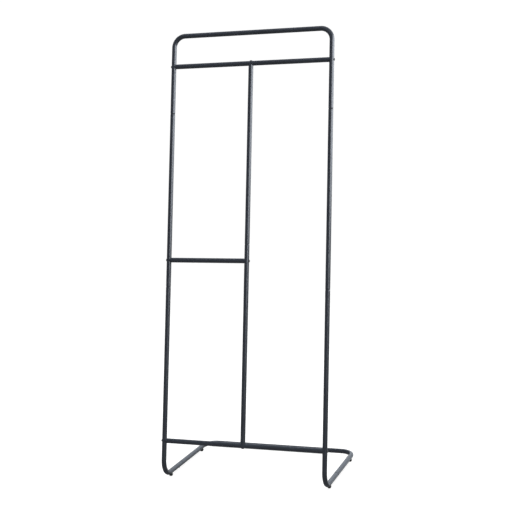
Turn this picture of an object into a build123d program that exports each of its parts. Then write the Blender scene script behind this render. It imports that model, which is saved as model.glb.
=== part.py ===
"""Valet stand: a leaning frame of steel tube on a low U base, with three hanging rails.

Millimetres, +Z up, +X to the right of a person facing the stand, +Y to the rear.
The origin is on the floor, at the centre of the stand's footprint.
"""

import os
from math import cos, radians, sin, tan

from build123d import *

os.makedirs("parts", exist_ok=True)

# Overall sizes
OVERALL_HEIGHT = 1752.0
OVERALL_DEPTH = 496.0
FRAME_WIDTH = 650.0  # between the axes of the two uprights
LEAN = 9.0  # degrees that the frame leans to the rear

# Tube
TUBE_R = 9.5
TUBE_WALL = 1.2
BORE_R = TUBE_R - TUBE_WALL
HOOP_BEND_R = 45.0
BASE_BEND_R = 55.0

# Push joints: the swaged neck of one tube enters the open mouth of the next
NECK_R = BORE_R - 0.1
NECK_LENGTH = 40.0
NECK_LEAD = 1.0
SHOULDER = 5.0
ROOT = 2.0
SEAM_CHAMFER = 1.0

# Distances up the slope, from the line where the frame's plane meets the base tubes' axes
LOWER_RAIL_AT = 141.0
UPRIGHT_FOOT_AT = 744.0
SHORT_RAIL_AT = 850.0
POST_JOINT_AT = 914.0
UPRIGHT_HEAD_AT = 1433.0
UPPER_RAIL_AT = 1623.0

# Distances to the rear of that same line
FRONT_FOOT_AT = 74.0
BOW_SCREW_AT = 158.0
BOW_JOINT_AT = 180.0
REAR_FOOT_AT = 415.0

# Rail ends, their threaded plugs and the bolts
COPE_R = TUBE_R + 0.05
PLUG_R = BORE_R - 0.05
PLUG_SETBACK = TUBE_R + 0.3
PLUG_LENGTH = 16.0
BOLT_R = 3.0
BOLT_LENGTH = 33.0
BOLT_HOLE_R = 3.25
BOLT_SEAT_R = 5.6
BOLT_SEAT_DEPTH = 0.8
BOLT_HEAD_R = 5.25
BOLT_HEAD_EDGE = 0.9
BOLT_HEAD_HEIGHT = 3.3
SOCKET_R = 2.0
SOCKET_DEPTH = 1.9

# Screws that lock the rear bow to the legs
SCREW_R = 1.9
SCREW_LENGTH = 6.0
SCREW_HOLE_R = 2.0
SCREW_SEAT_R = 4.3
SCREW_SEAT_DEPTH = 0.5
SCREW_HEAD_R = 4.0
SCREW_HEAD_EDGE = 0.8
SCREW_HEAD_HEIGHT = 2.6
CROSS_WIDTH = 1.0
CROSS_LENGTH = 4.4
CROSS_DEPTH = 1.4

# Feet
FOOT_GAP = 9.0  # from the floor to the underside of the base tubes
FOOT_R = 7.5
FOOT_SOLE_R = 5.5
FOOT_BULGE_AT = 4.0
FOOT_NECK_R = 6.2
FOOT_TOP_AT = FOOT_GAP + 2.5
STEM_R = 3.0
STEM_HOLE_R = 3.2
BARB_R = 3.9
BARB_AT = FOOT_GAP + 2.4
BARB_TIP_R = 2.2
BARB_TOP_AT = FOOT_GAP + 6.0

# Worked out from the sizes above
SIDE_X = FRAME_WIDTH / 2
BASE_Z = FOOT_GAP + TUBE_R
LEG_TANGENT = BASE_BEND_R * tan(radians((90 + LEAN) / 2))
FRAME_Y = -OVERALL_DEPTH / 2 + TUBE_R + BASE_BEND_R - LEG_TANGENT
REAR_Y = OVERALL_DEPTH / 2 - TUBE_R
TOP_RAIL_AT = (OVERALL_HEIGHT - TUBE_R - BASE_Z) / cos(radians(LEAN))
RIGHT = Vector(1, 0, 0)
REAR = Vector(0, 1, 0)
UP = Vector(0, 0, 1)
UP_SLOPE = Vector(0, sin(radians(LEAN)), cos(radians(LEAN)))


def on_frame(x, up):
    """The point of the frame's plane at x, that distance up the slope."""
    return Vector(x, FRAME_Y, BASE_Z) + UP_SLOPE * up


def on_base(x, back):
    """The point on a base tube's axis, that distance to the rear of the frame's foot line."""
    return Vector(x, FRAME_Y + back, BASE_Z)


def across(point, direction):
    """The plane at a point that faces along a direction."""
    return Plane(origin=point, z_dir=direction)


def along(point, direction):
    """The plane at a point whose own Y runs along a direction, for half sections to revolve."""
    side = across(point, direction).x_dir
    return Plane(origin=point, x_dir=side, z_dir=side.cross(direction))


def add_tube(*corners, bend=None):
    """Adds tube along straight runs, with a bend of one radius at each corner between them."""
    with BuildLine() as route:
        if bend:
            FilletPolyline(*corners, radius=bend)
        else:
            Line(*corners)
    with BuildSketch(across(route.line @ 0, route.line % 0)) as ring:
        Circle(TUBE_R)
        Circle(BORE_R, mode=Mode.SUBTRACT)
    sweep(ring.sketch, path=route.line)


def add_neck(end, direction):
    """Adds the shoulder and the swaged neck at the end of a tube."""
    with BuildSketch(along(end, direction)) as half:
        with BuildLine():
            Polyline(
                (BORE_R - TUBE_WALL, -SHOULDER),
                (BORE_R, -SHOULDER - ROOT),
                (TUBE_R, -SHOULDER - ROOT),
                (TUBE_R, -SEAM_CHAMFER),
                (TUBE_R - SEAM_CHAMFER, 0),
                (NECK_R, 0),
                (NECK_R, NECK_LENGTH - NECK_LEAD),
                (NECK_R - NECK_LEAD / 2, NECK_LENGTH),
                (BORE_R - TUBE_WALL, NECK_LENGTH),
                close=True,
            )
        make_face()
    revolve(half.sketch, axis=Axis(end, direction))


def trim_end(end, direction):
    """Cuts a tube square, a shoulder's length short of its end, to leave room for the neck."""
    with BuildSketch(across(end, direction)) as disc:
        Circle(TUBE_R + ROOT)
    extrude(disc.sketch, amount=-SHOULDER - ROOT, mode=Mode.SUBTRACT)


def open_mouth(tube, end):
    """Breaks the outer edge of a tube's open mouth."""
    rims = tube.edges().filter_by(GeomType.CIRCLE).sort_by_distance(end)
    chamfer(rims[1], length=SEAM_CHAMFER)


def drill(point, direction, radius, length):
    """Cuts a round hole from a point along a direction."""
    with BuildSketch(across(point, direction)) as disc:
        Circle(radius)
    extrude(disc.sketch, amount=length, mode=Mode.SUBTRACT)


def bolt_hole(centre, outward):
    """Cuts a bolt's hole through both walls of a tube, and the flat that its head seats on."""
    drill(centre + outward * 2 * TUBE_R, -outward, BOLT_HOLE_R, 4 * TUBE_R)
    seat = centre + outward * (TUBE_R - BOLT_SEAT_DEPTH)
    drill(seat, outward, BOLT_SEAT_R, TUBE_R)


def screw_hole(centre, head_side, seat=True):
    """Cuts a screw's hole through one wall of a tube and, on the outer tube, its seat."""
    drill(centre, head_side, SCREW_HOLE_R, 2 * TUBE_R)
    if seat:
        drill(centre + head_side * (TUBE_R - SCREW_SEAT_DEPTH), head_side, SCREW_SEAT_R, TUBE_R)


def cope(axis_point, direction):
    """Cuts a rail's end to a saddle that fits round the tube on that axis."""
    reach = 3 * TUBE_R
    drill(axis_point - direction * reach, direction, COPE_R, 2 * reach)


def add_plug(axis_point, inward):
    """Adds a threaded plug inside a rail's end; inward points from the crossing tube's axis."""
    with BuildSketch(across(axis_point + inward * PLUG_SETBACK, inward)) as ring:
        Circle(PLUG_R)
        Circle(BOLT_R + 0.05, mode=Mode.SUBTRACT)
    extrude(ring.sketch, amount=PLUG_LENGTH)


def add_fastener(seat, outward, shank_r, length, head_r, edge, height):
    """Adds a screw with a domed head; outward points from its seat to the head."""
    with BuildSketch(along(seat, outward)) as half:
        with BuildLine():
            Polyline((head_r / 2, height), (0, height), (0, -length), (shank_r - 0.4, -length),
                     (shank_r, -length + 0.4), (shank_r, 0), (head_r, 0), (head_r, edge))
            ThreePointArc((head_r, edge), (0.84 * head_r, edge + 0.7 * (height - edge)),
                          (head_r / 2, height))
        make_face()
    revolve(half.sketch, axis=Axis(seat, outward))


def add_bolt(tube_centre, outward):
    """Adds a button-head bolt through a tube; outward points from the tube's axis to the head."""
    seat = tube_centre + outward * (TUBE_R - BOLT_SEAT_DEPTH)
    add_fastener(
        seat, outward, BOLT_R, BOLT_LENGTH, BOLT_HEAD_R, BOLT_HEAD_EDGE, BOLT_HEAD_HEIGHT
    )
    with BuildSketch(across(seat + outward * BOLT_HEAD_HEIGHT, outward)) as socket:
        RegularPolygon(radius=SOCKET_R, side_count=6, major_radius=False)
    extrude(socket.sketch, amount=-SOCKET_DEPTH, mode=Mode.SUBTRACT)


def add_bow_screw(tube_centre, outward):
    """Adds a pan-head screw with a cross recess, through one wall of a tube."""
    seat = tube_centre + outward * (TUBE_R - SCREW_SEAT_DEPTH)
    add_fastener(
        seat, outward, SCREW_R, SCREW_LENGTH, SCREW_HEAD_R, SCREW_HEAD_EDGE, SCREW_HEAD_HEIGHT
    )
    with BuildSketch(across(seat + outward * SCREW_HEAD_HEIGHT, outward)) as cross:
        Rectangle(CROSS_LENGTH, CROSS_WIDTH)
        Rectangle(CROSS_WIDTH, CROSS_LENGTH)
    extrude(cross.sketch, amount=-CROSS_DEPTH, mode=Mode.SUBTRACT)


def finish_piece(solid, name):
    """Labels a finished piece and writes it to its own file."""
    solid.label = name
    export_step(solid, f"parts/{name}.step")


# Top hoop: the top rail, its two bends and the heads of both uprights
with BuildPart() as top_hoop:
    add_tube(
        on_frame(-SIDE_X, UPRIGHT_HEAD_AT),
        on_frame(-SIDE_X, TOP_RAIL_AT),
        on_frame(SIDE_X, TOP_RAIL_AT),
        on_frame(SIDE_X, UPRIGHT_HEAD_AT),
        bend=HOOP_BEND_R,
    )
    for side in (-1, 1):
        open_mouth(top_hoop, on_frame(side * SIDE_X, UPRIGHT_HEAD_AT))
        bolt_hole(on_frame(side * SIDE_X, UPPER_RAIL_AT), RIGHT * side)
finish_piece(top_hoop.part, "top_hoop")

for side, hand in ((-1, "left"), (1, "right")):
    # Upright: the middle length of one side, with its neck at the top
    with BuildPart() as upright:
        head = on_frame(side * SIDE_X, UPRIGHT_HEAD_AT)
        add_tube(on_frame(side * SIDE_X, UPRIGHT_FOOT_AT), head)
        open_mouth(upright, on_frame(side * SIDE_X, UPRIGHT_FOOT_AT))
        trim_end(head, UP_SLOPE)
        add_neck(head, UP_SLOPE)
        if hand == "left":
            bolt_hole(on_frame(side * SIDE_X, SHORT_RAIL_AT), RIGHT * side)
    finish_piece(upright.part, f"upright_{hand}")

    # Leg: the foot of one side, bent back along the floor, with its neck at the top
    with BuildPart() as leg:
        head = on_frame(side * SIDE_X, UPRIGHT_FOOT_AT)
        add_tube(
            head,
            on_frame(side * SIDE_X, 0),
            on_base(side * SIDE_X, BOW_JOINT_AT),
            bend=BASE_BEND_R,
        )
        open_mouth(leg, on_base(side * SIDE_X, BOW_JOINT_AT))
        trim_end(head, UP_SLOPE)
        add_neck(head, UP_SLOPE)
        bolt_hole(on_frame(side * SIDE_X, LOWER_RAIL_AT), RIGHT * side)
        screw_hole(on_base(side * SIDE_X, BOW_SCREW_AT), -UP)
        drill(on_base(side * SIDE_X, FRONT_FOOT_AT), -UP, STEM_HOLE_R, 2 * TUBE_R)
    finish_piece(leg.part, f"leg_{hand}")

# Rear bow: the U that closes the base, with a neck at each end
with BuildPart() as rear_bow:
    add_tube(
        on_base(-SIDE_X, BOW_JOINT_AT),
        Vector(-SIDE_X, REAR_Y, BASE_Z),
        Vector(SIDE_X, REAR_Y, BASE_Z),
        on_base(SIDE_X, BOW_JOINT_AT),
        bend=BASE_BEND_R,
    )
    for side in (-1, 1):
        end = on_base(side * SIDE_X, BOW_JOINT_AT)
        trim_end(end, -REAR)
        add_neck(end, -REAR)
        screw_hole(on_base(side * SIDE_X, BOW_SCREW_AT), -UP, seat=False)
        drill(on_base(side * SIDE_X, REAR_FOOT_AT), -UP, STEM_HOLE_R, 2 * TUBE_R)
finish_piece(rear_bow.part, "rear_bow")

# Rails: coped at both ends, with holes where the divider post is bolted on
RAILS = {
    "upper_rail": (UPPER_RAIL_AT, -SIDE_X, SIDE_X),
    "short_rail": (SHORT_RAIL_AT, -SIDE_X, 0),
    "lower_rail": (LOWER_RAIL_AT, -SIDE_X, SIDE_X),
}
POST_BOLTS = {"upper_rail": UP_SLOPE, "lower_rail": -UP_SLOPE}
for name, (up, left_x, right_x) in RAILS.items():
    with BuildPart() as rail:
        add_tube(on_frame(left_x, up), on_frame(right_x, up))
        cope(on_frame(left_x, up), UP_SLOPE)
        cope(on_frame(right_x, up), UP_SLOPE)
        if name in POST_BOLTS:
            bolt_hole(on_frame(0, up), POST_BOLTS[name])
    finish_piece(rail.part, name)

    with BuildPart() as rail_plugs:
        add_plug(on_frame(left_x, up), RIGHT)
        add_plug(on_frame(right_x, up), -RIGHT)
    finish_piece(rail_plugs.part, f"{name}_plugs")

    with BuildPart() as rail_bolts:
        add_bolt(on_frame(left_x, up), -RIGHT)
        add_bolt(on_frame(right_x, up), RIGHT)
    finish_piece(rail_bolts.part, f"{name}_bolts")

# Divider post: two lengths between the lower and the upper rail
with BuildPart() as post_lower:
    add_tube(on_frame(0, LOWER_RAIL_AT), on_frame(0, POST_JOINT_AT))
    cope(on_frame(0, LOWER_RAIL_AT), RIGHT)
    trim_end(on_frame(0, POST_JOINT_AT), UP_SLOPE)
    add_neck(on_frame(0, POST_JOINT_AT), UP_SLOPE)
    bolt_hole(on_frame(0, SHORT_RAIL_AT), RIGHT)
finish_piece(post_lower.part, "post_lower")

with BuildPart() as post_upper:
    add_tube(on_frame(0, POST_JOINT_AT), on_frame(0, UPPER_RAIL_AT))
    open_mouth(post_upper, on_frame(0, POST_JOINT_AT))
    cope(on_frame(0, UPPER_RAIL_AT), RIGHT)
finish_piece(post_upper.part, "post_upper")

with BuildPart() as post_plugs:
    add_plug(on_frame(0, LOWER_RAIL_AT), UP_SLOPE)
    add_plug(on_frame(0, UPPER_RAIL_AT), -UP_SLOPE)
finish_piece(post_plugs.part, "post_plugs")

with BuildPart() as post_bolts:
    add_bolt(on_frame(0, LOWER_RAIL_AT), -UP_SLOPE)
    add_bolt(on_frame(0, UPPER_RAIL_AT), UP_SLOPE)
finish_piece(post_bolts.part, "post_bolts")

# Bow screws: pan heads under the base, through each leg into the bow's neck
with BuildPart() as bow_screws:
    for side in (-1, 1):
        add_bow_screw(on_base(side * SIDE_X, BOW_SCREW_AT), -UP)
finish_piece(bow_screws.part, "bow_screws")

# Feet: domed plastic glides, each pushed into the underside of the base by a barbed stem
FOOT_PLACES = {"front": FRONT_FOOT_AT, "rear": REAR_FOOT_AT}
for end_name, back in FOOT_PLACES.items():
    for side, hand in ((-1, "left"), (1, "right")):
        tube_axis = on_base(side * SIDE_X, back)
        floor_point = tube_axis - UP * BASE_Z
        with BuildPart() as foot:
            with BuildSketch(along(floor_point, UP)) as dome:
                with BuildLine():
                    Polyline((FOOT_NECK_R, FOOT_TOP_AT), (0, FOOT_TOP_AT), (0, 0), (FOOT_SOLE_R, 0))
                    ThreePointArc(
                        (FOOT_SOLE_R, 0),
                        (FOOT_R, FOOT_BULGE_AT),
                        (FOOT_NECK_R, FOOT_TOP_AT),
                    )
                make_face()
            revolve(dome.sketch, axis=Axis(floor_point, UP))
            drill(tube_axis - REAR * 2 * FOOT_R, REAR, COPE_R, 4 * FOOT_R)
            with BuildSketch(along(floor_point, UP)) as stem:
                with BuildLine():
                    Polyline((0, FOOT_GAP - 2), (STEM_R, FOOT_GAP - 2), (STEM_R, BARB_AT),
                             (BARB_R, BARB_AT), (BARB_TIP_R, BARB_TOP_AT), (0, BARB_TOP_AT),
                             close=True)
                make_face()
            revolve(stem.sketch, axis=Axis(floor_point, UP))
        finish_piece(foot.part, f"foot_{end_name}_{hand}")
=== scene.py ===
"""Valet stand: its smooth tubes, fixings, finishes, studio and camera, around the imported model.

Metres, +Z up, +X to the right of a person facing the stand, +Y to the rear.
"""

from math import cos, pi, radians, sin, sqrt, tan

import bmesh
import bpy
from mathutils import Matrix, Vector


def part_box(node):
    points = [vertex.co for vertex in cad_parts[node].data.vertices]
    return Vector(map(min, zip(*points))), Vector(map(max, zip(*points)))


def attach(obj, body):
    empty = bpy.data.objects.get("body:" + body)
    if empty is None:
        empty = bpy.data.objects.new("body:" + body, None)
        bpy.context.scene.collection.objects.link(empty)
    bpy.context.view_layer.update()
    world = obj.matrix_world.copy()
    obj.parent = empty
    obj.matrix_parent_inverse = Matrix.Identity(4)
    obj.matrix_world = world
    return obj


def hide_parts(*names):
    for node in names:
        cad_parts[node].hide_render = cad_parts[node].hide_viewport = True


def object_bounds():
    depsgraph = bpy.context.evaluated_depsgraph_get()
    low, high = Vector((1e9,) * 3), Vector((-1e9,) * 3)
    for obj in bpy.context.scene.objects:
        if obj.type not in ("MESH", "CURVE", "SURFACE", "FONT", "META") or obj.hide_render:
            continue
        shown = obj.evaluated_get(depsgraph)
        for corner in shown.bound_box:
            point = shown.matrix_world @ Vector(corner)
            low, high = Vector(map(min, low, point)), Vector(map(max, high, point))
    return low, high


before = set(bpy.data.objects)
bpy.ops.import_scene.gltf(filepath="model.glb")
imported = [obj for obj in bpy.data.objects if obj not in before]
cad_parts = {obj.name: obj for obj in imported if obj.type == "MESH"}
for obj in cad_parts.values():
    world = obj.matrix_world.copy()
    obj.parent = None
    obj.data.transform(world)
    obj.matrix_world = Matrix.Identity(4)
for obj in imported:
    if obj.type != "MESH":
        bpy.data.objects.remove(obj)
cad_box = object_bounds()

# Tube
TUBE_WALL = 0.0012
HOOP_BEND_R = 0.045
BASE_BEND_R = 0.055
COPE_GAP = 0.00005
SIDES = 72
BEND_STEPS = 28

# Push joints
SEAM_CHAMFER = 0.001
SEAM_SLOPE = 0.0024
NECK_GAP = 0.0001
NECK_LENGTH = 0.040
NECK_LEAD = 0.001
SHOULDER = 0.005
ROOT = 0.002

# Button-head bolts
FIXING_SIDES = 48
BOLT_R = 0.003
BOLT_LENGTH = 0.033
BOLT_SEAT_DEPTH = 0.0008
BOLT_HEAD_R = 0.00525
BOLT_HEAD_EDGE = 0.0009
BOLT_HEAD_HEIGHT = 0.0033
BOLT_TIP_CHAMFER = 0.0005
DOME_STEPS = 6
DOME_FLAT = 0.5
HEX = 6
SOCKET_R = 0.002
SOCKET_DEPTH = 0.0019

# Meshes
MERGE = 1e-7
SHARP_ANGLE = radians(18)

# Camera, and the studio round the stand
CAMERA_PLACE = Vector((1.3506, -4.0633, 1.3593))
CAMERA_HEADING = radians(18.27)
CAMERA_DOWN = radians(5.34)
CAMERA_ROLL = radians(1.61)
CAMERA_LENS = 75.87
CAMERA_SHIFT = -0.0495
FLOOR_R = 8.0
FLOOR_SIDES = 128
FLOOR_FADE_FROM = 2.0
FLOOR_FADE_TO = 7.5
FLOOR_GLOW = 0.88
AIR_SEEN = 1.02
AIR_LIGHT = 0.17
SIDE_TINT = (0.88, 0.93, 1.0)
REAR_TINT = (0.82, 0.90, 1.0)

# Patterns in the finishes, in lumps to the metre, and the depths of their bumps
COAT_CLOUDS, COAT_PEEL, COAT_GRIT, COAT_RUBS = 9, 520, 2600, 60
COAT_DEPTH = 0.000005
FIXING_BLOOM, FIXING_GRAIN = 400, 4000
PLUG_BLOOM, PLUG_TURNING = 250, 3000
METAL_DEPTH = 0.00001
RUBBER_SKIN, RUBBER_SCUFFS = 2400, 700
RUBBER_DEPTH = 0.00005
SCUFFS_FROM, SCUFFS_TO = 0.0005, 0.004
FLOOR_PATCHES = 1.3


def middle(node):
    """The centre of a node's box."""
    low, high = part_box(node)
    return (low + high) / 2


# Axes and places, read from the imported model
bow_low, bow_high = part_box("rear_bow")
TUBE_R = (bow_high.z - bow_low.z) / 2
BORE_R = TUBE_R - TUBE_WALL
NECK_R = BORE_R - NECK_GAP
COPE_R = TUBE_R + COPE_GAP
BASE_Z = middle("rear_bow").z
SIDE_X = bow_high.x - TUBE_R
REAR_Y = bow_high.y - TUBE_R
RIGHT = Vector((1, 0, 0))
UP_SLOPE = (middle("upper_rail") - middle("lower_rail")).normalized()


def on_frame(x, z):
    """The point of the leaning frame's plane at x and at height z."""
    start = middle("lower_rail")
    point = start + UP_SLOPE * ((z - start.z) / UP_SLOPE.z)
    return Vector((x, point.y, z))


def mouth_height(node):
    """The height of a leaning tube's open lower end, on its axis."""
    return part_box(node)[0].z + TUBE_R * UP_SLOPE.y


TOP_Z = cad_box[1].z - TUBE_R
UPPER_Z = middle("upper_rail").z
SHORT_Z = middle("short_rail").z
LOWER_Z = middle("lower_rail").z
HEAD_Z = mouth_height("top_hoop")
KNEE_Z = mouth_height("upright_right")
POST_JOINT_Z = mouth_height("post_upper")
BOW_JOINT_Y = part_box("leg_left")[1].y


class Pen:
    """Draws a tube's wall out of a ring of edges."""

    def __init__(self, mesh, place, heading, radius):
        self.mesh, self.place, self.heading, self.radius = mesh, place, heading, radius
        turn = heading.to_track_quat("Z", "Y").to_matrix().to_4x4()
        bmesh.ops.create_circle(
            mesh, segments=SIDES, radius=radius, matrix=Matrix.Translation(place) @ turn
        )
        mesh.edges.ensure_lookup_table()
        self.edges = mesh.edges[-SIDES:]

    def draw_to(self, place, radius):
        """Draws the wall straight on to a place, where it has a new radius."""
        grown = bmesh.ops.extrude_edge_only(self.mesh, edges=self.edges)["geom"]
        verts = [part for part in grown if isinstance(part, bmesh.types.BMVert)]
        self.edges = [part for part in grown if isinstance(part, bmesh.types.BMEdge)]
        bmesh.ops.translate(self.mesh, verts=verts, vec=place - self.place)
        change = (radius / self.radius,) * 3
        bmesh.ops.scale(self.mesh, verts=verts, vec=change, space=Matrix.Translation(-place))
        self.place, self.radius = place, radius

    def bend_round(self, corner, after, bend):
        """Draws the wall up to a corner and bends it towards the point after."""
        heading = (after - corner).normalized()
        turn = self.heading.angle(heading)
        tangent = bend * tan(turn / 2)
        self.draw_to(corner - self.heading * tangent, self.radius)
        axis = self.heading.cross(heading).normalized()
        spun = bmesh.ops.spin(
            self.mesh,
            geom=self.edges,
            cent=self.place + axis.cross(self.heading) * bend,
            axis=axis,
            angle=turn,
            steps=BEND_STEPS,
        )["geom_last"]
        self.edges = [part for part in spun if isinstance(part, bmesh.types.BMEdge)]
        self.heading, self.place = heading, corner + heading * tangent


# Each kind of end, for the outer and the inner wall: (distance beyond the end, radius)
ENDS = {
    "mouth": (
        [(-SEAM_SLOPE, TUBE_R), (0, TUBE_R - SEAM_CHAMFER)],
        [(0, BORE_R)],
    ),
    "neck": (
        [
            (-SEAM_SLOPE, TUBE_R),
            (0, TUBE_R - SEAM_CHAMFER),
            (0, NECK_R),
            (NECK_LENGTH - NECK_LEAD, NECK_R),
            (NECK_LENGTH, NECK_R - NECK_LEAD / 2),
        ],
        [
            (-SHOULDER - ROOT, BORE_R),
            (-SHOULDER, BORE_R - TUBE_WALL),
            (NECK_LENGTH, BORE_R - TUBE_WALL),
        ],
    ),
    "cope": ([(0, TUBE_R)], [(0, BORE_R)]),
}


def draw_wall(mesh, route, bend, start_rings, end_rings):
    """Draws one wall along a route, and returns its first and its last ring of edges."""
    heading = (route[1] - route[0]).normalized()
    rings = [(route[0] - heading * beyond, radius) for beyond, radius in reversed(start_rings)]
    pen = Pen(mesh, rings[0][0], heading, rings[0][1])
    first = pen.edges
    for place, radius in rings[1:]:
        pen.draw_to(place, radius)
    for corner, after in zip(route[1:-1], route[2:]):
        pen.bend_round(corner, after, bend)
    for beyond, radius in end_rings:
        pen.draw_to(route[-1] + pen.heading * beyond, radius)
    return first, pen.edges


def press_to_saddle(rings, axis_point, inward, crossing):
    """Slides a tube's end rings back along it, onto the saddle that fits a crossing tube."""
    side = inward.cross(crossing)
    for vert in {vert for edge in rings for vert in edge.verts}:
        off = (vert.co - axis_point).dot(side)
        vert.co += inward * sqrt(COPE_R**2 - off**2)


def finish_mesh(mesh, name, slot, replaced):
    """Closes a piece's mesh, smooths it but for its sharp edges, and makes it an object."""
    bmesh.ops.remove_doubles(mesh, verts=mesh.verts, dist=MERGE)
    bmesh.ops.recalc_face_normals(mesh, faces=mesh.faces)
    for face in mesh.faces:
        face.smooth = True
    for edge in mesh.edges:
        edge.smooth = edge.calc_face_angle(0) < SHARP_ANGLE
    data = bpy.data.meshes.new(name)
    mesh.to_mesh(data)
    mesh.free()
    piece = bpy.data.objects.new(name, data)
    bpy.context.scene.collection.objects.link(piece)
    data.materials.append(FINISHES[slot])
    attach(piece, "root")
    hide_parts(replaced)


def tube(node, route, bend=0, ends=("cope", "cope"), crossing=None):
    """A steel tube along a route, with a wall of the true thickness, that replaces its node."""
    mesh = bmesh.new()
    start, end = ENDS[ends[0]], ENDS[ends[1]]
    walls = [draw_wall(mesh, route, bend, start[side], end[side]) for side in (0, 1)]
    for which in (0, 1):
        rings = [*walls[0][which], *walls[1][which]]
        if ends[which] == "cope":
            inward = (route[1] - route[0]).normalized() * (1 - 2 * which)
            press_to_saddle(rings, route[-which], inward, crossing)
        bmesh.ops.bridge_loops(mesh, edges=rings)
    finish_mesh(mesh, f"{node}_tube", "black_coat", node)


def add_bolt(mesh, tube_axis, outward):
    """Adds a button-head bolt with a hexagonal socket, its head against a tube's outer side."""
    seat = tube_axis + outward * (TUBE_R - BOLT_SEAT_DEPTH)
    place = Matrix.Translation(seat) @ outward.to_track_quat("Z", "Y").to_matrix().to_4x4()
    dome = [
        (
            BOLT_HEAD_R * (DOME_FLAT + (1 - DOME_FLAT) * cos(angle)),
            BOLT_HEAD_EDGE + (BOLT_HEAD_HEIGHT - BOLT_HEAD_EDGE) * sin(angle),
        )
        for angle in (pi / 2 * step / DOME_STEPS for step in range(DOME_STEPS + 1))
    ]
    outline = [
        (0, -BOLT_LENGTH),
        (BOLT_R - BOLT_TIP_CHAMFER, -BOLT_LENGTH),
        (BOLT_R, -BOLT_LENGTH + BOLT_TIP_CHAMFER),
        (BOLT_R, 0),
        (BOLT_HEAD_R, 0),
        *dome,
    ]
    head = bmesh.new()
    verts = [head.verts.new((radius, 0, height)) for radius, height in outline]
    edges = [head.edges.new(pair) for pair in zip(verts, verts[1:])]
    bmesh.ops.spin(
        head, geom=verts + edges, cent=(0, 0, 0), axis=(0, 0, 1), angle=2 * pi,
        steps=FIXING_SIDES, use_merge=True,
    )
    bmesh.ops.remove_doubles(head, verts=head.verts, dist=MERGE)
    rim = [edge for edge in head.edges if edge.is_boundary]
    level = Matrix.Translation((0, 0, BOLT_HEAD_HEIGHT))
    bmesh.ops.create_circle(head, segments=HEX, radius=SOCKET_R / cos(pi / HEX), matrix=level)
    head.edges.ensure_lookup_table()
    bmesh.ops.subdivide_edges(head, edges=head.edges[-HEX:], cuts=FIXING_SIDES // HEX - 1)
    socket = [edge for edge in head.edges if edge.is_wire]
    bmesh.ops.bridge_loops(head, edges=rim + socket)
    sunk = bmesh.ops.extrude_edge_only(head, edges=socket)["geom"]
    floor = [part for part in sunk if isinstance(part, bmesh.types.BMVert)]
    bmesh.ops.translate(head, verts=floor, vec=(0, 0, -SOCKET_DEPTH))
    bmesh.ops.contextual_create(
        head, geom=[part for part in sunk if isinstance(part, bmesh.types.BMEdge)]
    )
    bmesh.ops.transform(head, verts=head.verts, matrix=place)
    data = bpy.data.meshes.new("bolt")
    head.to_mesh(data)
    head.free()
    mesh.from_mesh(data)
    bpy.data.meshes.remove(data)


def bolts(node, places):
    """The bolts of one node, each given by the tube's axis at its head and its outward side."""
    mesh = bmesh.new()
    for tube_axis, outward in places:
        add_bolt(mesh, tube_axis, outward)
    finish_mesh(mesh, f"{node}_fine", "black_fixing", node)


class Shade:
    """One output in a material. Arithmetic on it adds Math nodes."""

    def __init__(self, tree, socket):
        self.tree, self.socket = tree, socket

    def node(self, kind, settings, inputs, output=0):
        """Adds any other node beside this one and returns one of its outputs."""
        made = self.tree.nodes.new(kind)
        for setting, value in settings.items():
            setattr(made, setting, value)
        for name, value in inputs.items():
            if isinstance(value, Shade):
                self.tree.links.new(value.socket, made.inputs[name])
            else:
                made.inputs[name].default_value = value
        return Shade(self.tree, made.outputs[output])

    def maths(self, operation, first, second):
        """One Math node between two values or shades."""
        return self.node("ShaderNodeMath", {"operation": operation}, {0: first, 1: second})

    def __add__(self, other):
        return self.maths("ADD", self, other)

    def __sub__(self, other):
        return self.maths("SUBTRACT", self, other)

    def __rsub__(self, other):
        return self.maths("SUBTRACT", other, self)

    def __mul__(self, other):
        return self.maths("MULTIPLY", self, other)

    __radd__ = __add__
    __rmul__ = __mul__


def mottle(place, scale, detail=3, sides=(1, 1, 1)):
    """Cloudy noise between about 0.2 and 0.8, that many lumps to the metre."""
    stretched = place.node("ShaderNodeMapping", {}, {"Vector": place, "Scale": sides})
    return place.node(
        "ShaderNodeTexNoise", {}, {"Vector": stretched, "Scale": scale, "Detail": detail}
    )


def between(mask, low, high):
    """A mask stretched so that low becomes 0 and high becomes 1."""
    return mask.node(
        "ShaderNodeMapRange", {"clamp": True}, {0: mask, "From Min": low, "From Max": high}
    )


def blend(mask, low_colour, high_colour):
    """A colour between two others."""
    return mask.node(
        "ShaderNodeMix",
        {"data_type": "RGBA"},
        {"Factor": mask, 6: low_colour, 7: high_colour},
        output=2,
    )


def new_finish(name):
    """A new material, its surface shader and its Object coordinates."""
    material = bpy.data.materials.new(name)
    material.use_nodes = True
    tree = material.node_tree
    surface = tree.nodes["Principled BSDF"]
    place = Shade(tree, tree.nodes.new("ShaderNodeTexCoord").outputs["Object"])
    return material, surface, place


def wire(surface, inputs):
    """Sets a surface shader's sockets, to a value or to a shade."""
    for name, value in inputs.items():
        if isinstance(value, Shade):
            value.tree.links.new(value.socket, surface.inputs[name])
        else:
            surface.inputs[name].default_value = value


def bump(height, depth):
    """The surface's normal, tilted by a height pattern of that depth in metres."""
    return height.node("ShaderNodeBump", {}, {"Height": height, "Distance": depth, "Strength": 1})


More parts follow.
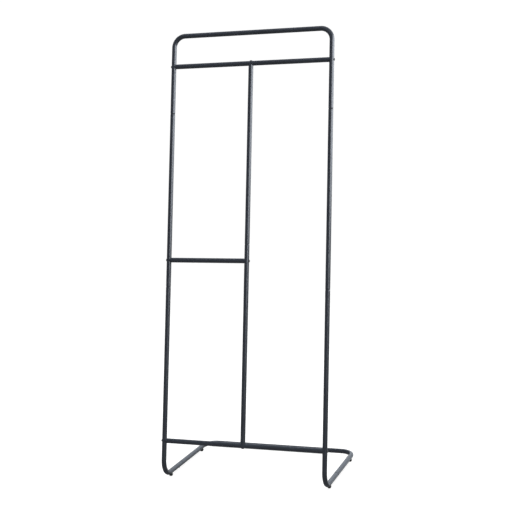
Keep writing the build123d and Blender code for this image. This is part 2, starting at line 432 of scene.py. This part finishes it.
def black_coat():
    """Semi-gloss powder coat, bluish black, with orange peel and rubbed tops to its rails."""
    material, surface, place = new_finish("black_coat")
    clouds = mottle(place, COAT_CLOUDS, detail=4)
    peel = mottle(place, COAT_PEEL, detail=2)
    grit = mottle(place, COAT_GRIT, detail=1)
    facing = place.node("ShaderNodeNewGeometry", {}, {}, output="Normal")
    upward = facing.node("ShaderNodeSeparateXYZ", {}, {"Vector": facing}, output="Z")
    rubs = between(mottle(place, COAT_RUBS, detail=5, sides=(4, 0.4, 0.4)), 0.50, 0.70)
    rubbed = between(upward, 0.80, 0.98) * rubs
    deep, pale = (0.016, 0.0195, 0.027, 1), (0.021, 0.0255, 0.035, 1)
    colour = blend(between(clouds, 0.3, 0.7), deep, pale)
    worn = blend(rubbed * 0.5, colour, (0.03, 0.034, 0.042, 1))
    wire(surface, {
        "Base Color": worn,
        "Roughness": 0.28 + 0.08 * clouds + 0.04 * grit - 0.05 * rubbed,
        "IOR": 1.5,
        "Normal": bump(peel * 0.8 + grit * 0.2, COAT_DEPTH),
    })
    return material


def black_fixing():
    """Black oxide on steel: satin, with a brown-grey bloom."""
    material, surface, place = new_finish("black_fixing")
    bloom = mottle(place, FIXING_BLOOM, detail=4)
    grain = mottle(place, FIXING_GRAIN, detail=2)
    wire(surface, {
        "Base Color": blend(bloom, (0.022, 0.023, 0.026, 1), (0.045, 0.043, 0.042, 1)),
        "Metallic": 0.6,
        "Roughness": 0.36 + 0.18 * bloom,
        "Normal": bump(grain, METAL_DEPTH),
    })
    return material


def zinc_plug():
    """Bright zinc plate, with turning marks and a cloudy passivated bloom."""
    material, surface, place = new_finish("zinc_plug")
    bloom = mottle(place, PLUG_BLOOM, detail=4)
    wire(surface, {
        "Base Color": blend(bloom, (0.50, 0.51, 0.54, 1), (0.62, 0.61, 0.58, 1)),
        "Metallic": 1.0,
        "Roughness": 0.28 + 0.2 * bloom,
        "Normal": bump(mottle(place, PLUG_TURNING, sides=(6, 1, 1)), METAL_DEPTH),
    })
    return material


def foot_rubber():
    """Moulded black rubber with a spark-textured skin, scuffed grey towards the sole."""
    material, surface, place = new_finish("foot_rubber")
    skin = mottle(place, RUBBER_SKIN)
    height = place.node("ShaderNodeSeparateXYZ", {}, {"Vector": place}, output="Z")
    low_down = 1 - between(height, SCUFFS_FROM, SCUFFS_TO)
    scuffs = between(mottle(place, RUBBER_SCUFFS, detail=4), 0.42, 0.66) * low_down
    wire(surface, {
        "Base Color": blend(scuffs * 0.5, (0.008, 0.008, 0.009, 1), (0.045, 0.044, 0.042, 1)),
        "Roughness": 0.58 + 0.14 * skin + 0.12 * scuffs,
        "Normal": bump(skin, RUBBER_DEPTH),
    })
    return material


def floor_paint():
    """Matt white, mostly self-lit so that shadows stay faint, fading into the air far away."""
    material, surface, place = new_finish("floor_paint")
    patches = mottle(place, FLOOR_PATCHES, detail=2)
    reach = place.node("ShaderNodeVectorMath", {"operation": "LENGTH"}, {0: place}, output="Value")
    wire(surface, {
        "Base Color": blend(patches, (0.22, 0.22, 0.22, 1), (0.24, 0.24, 0.24, 1)),
        "Emission Color": (1, 1, 1, 1),
        "Emission Strength": FLOOR_GLOW,
        "Roughness": 0.85 + 0.1 * patches,
        "Specular IOR Level": 0.1,
        "Alpha": 1 - between(reach, FLOOR_FADE_FROM, FLOOR_FADE_TO),
    })
    return material


FINISHES = {
    "black_coat": black_coat(),
    "black_fixing": black_fixing(),
    "zinc_plug": zinc_plug(),
    "foot_rubber": foot_rubber(),
}

# Frame: the hoop over the top, then on each side the upright and the leg below it
tube(
    "top_hoop",
    [on_frame(x, z) for x, z in
     ((-SIDE_X, HEAD_Z), (-SIDE_X, TOP_Z), (SIDE_X, TOP_Z), (SIDE_X, HEAD_Z))],
    bend=HOOP_BEND_R,
    ends=("mouth", "mouth"),
)
for side, hand in ((-SIDE_X, "left"), (SIDE_X, "right")):
    knee, corner = on_frame(side, KNEE_Z), on_frame(side, BASE_Z)
    tail = Vector((side, BOW_JOINT_Y, BASE_Z))
    tube(f"upright_{hand}", [knee, on_frame(side, HEAD_Z)], ends=("mouth", "neck"))
    tube(f"leg_{hand}", [tail, corner, knee], bend=BASE_BEND_R, ends=("mouth", "neck"))

# Base: the bow that joins the two legs behind
tube(
    "rear_bow",
    [Vector((x, y, BASE_Z)) for x, y in
     ((-SIDE_X, BOW_JOINT_Y), (-SIDE_X, REAR_Y), (SIDE_X, REAR_Y), (SIDE_X, BOW_JOINT_Y))],
    bend=BASE_BEND_R,
    ends=("neck", "neck"),
)

# Rails across the frame, each with a bolt from outside at both ends
for node, z, right_x in (
    ("upper_rail", UPPER_Z, SIDE_X), ("short_rail", SHORT_Z, 0), ("lower_rail", LOWER_Z, SIDE_X),
):
    left_end, right_end = on_frame(-SIDE_X, z), on_frame(right_x, z)
    tube(node, [left_end, right_end], crossing=UP_SLOPE)
    bolts(f"{node}_bolts", [(left_end, -RIGHT), (right_end, RIGHT)])

# Divider post, bolted through the lower rail from beneath and the upper rail from above
post_foot, post_head = on_frame(0, LOWER_Z), on_frame(0, UPPER_Z)
post_joint = on_frame(0, POST_JOINT_Z)
tube("post_lower", [post_foot, post_joint], ends=("cope", "neck"), crossing=RIGHT)
tube("post_upper", [post_joint, post_head], ends=("mouth", "cope"), crossing=RIGHT)
bolts("post_bolts", [(post_foot, -UP_SLOPE), (post_head, UP_SLOPE)])

# The feet, the plugs and the screws under the base keep their own shape
KEPT = {"foot": "foot_rubber", "plugs": "zinc_plug", "bow_screws": "black_fixing"}
for name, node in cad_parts.items():
    for part, slot in KEPT.items():
        if part in name:
            node.data.materials.clear()
            node.data.materials.append(FINISHES[slot])

# Studio: a white floor that casts no shadow and stays out of reflections, in pale air
floor_mesh = bmesh.new()
bmesh.ops.create_circle(floor_mesh, cap_ends=True, segments=FLOOR_SIDES, radius=FLOOR_R)
floor_data = bpy.data.meshes.new("floor")
floor_mesh.to_mesh(floor_data)
floor_mesh.free()
floor_data.materials.append(floor_paint())
floor = bpy.data.objects.new("floor", floor_data)
bpy.context.scene.collection.objects.link(floor)
floor.visible_glossy = floor.visible_shadow = False


def soft_light(name, place, target, size, power, colour=(1, 1, 1)):
    """A rectangular soft light at a place, turned to face a target."""
    data = bpy.data.lights.new(name, "AREA")
    data.shape = "RECTANGLE"
    data.size, data.size_y = size
    data.energy, data.color = power, colour
    light = bpy.data.objects.new(name, data)
    turn = (Vector(place) - Vector(target)).to_track_quat("Z", "Y")
    light.matrix_world = Matrix.Translation(place) @ turn.to_matrix().to_4x4()
    light.visible_camera = False
    bpy.context.scene.collection.objects.link(light)
    return light


# Three lights seen only in the gloss, the last of them below the floor, and one that is not
shine_right = soft_light(
    "shine_right", place=(3.0, -0.6, 2.32), target=(0, -0.6, 2.0), size=(7.0, 2.0),
    power=420, colour=SIDE_TINT,
)
shine_rear = soft_light(
    "shine_rear", place=(0.6, 4.5, 2.3), target=(0, 0, 0.9), size=(7.0, 3.4),
    power=112, colour=REAR_TINT,
)
shine_low = soft_light(
    "shine_low", place=(1.9, 4.5, -0.75), target=(0, 0, 0.1), size=(2.6, 1.8),
    power=17, colour=REAR_TINT,
)
overhead = soft_light(
    "overhead", place=(0, -0.3, 5.0), target=(0, 0, 0), size=(6.0, 6.0), power=560
)
overhead.visible_glossy = False
shine_right.visible_diffuse = shine_rear.visible_diffuse = shine_low.visible_diffuse = False

air = bpy.data.worlds.new("studio_air")
air.use_nodes = True
background = air.node_tree.nodes["Background"]
light_path = air.node_tree.nodes.new("ShaderNodeLightPath")
seen = Shade(air.node_tree, light_path.outputs["Is Camera Ray"])
wire(background, {"Color": (1, 1, 1, 1), "Strength": AIR_LIGHT + (AIR_SEEN - AIR_LIGHT) * seen})
bpy.context.scene.world = air

lens = bpy.data.cameras.new("camera")
lens.lens = CAMERA_LENS
lens.shift_y = CAMERA_SHIFT
camera = bpy.data.objects.new("camera", lens)
camera.matrix_world = (
    Matrix.Translation(CAMERA_PLACE)
    @ Matrix.Rotation(CAMERA_HEADING, 4, "Z")
    @ Matrix.Rotation(pi / 2 - CAMERA_DOWN, 4, "X")
    @ Matrix.Rotation(-CAMERA_ROLL, 4, "Z")
)
bpy.context.scene.collection.objects.link(camera)
bpy.context.scene.camera = camera
bpy.context.scene.view_settings.view_transform = "Standard"
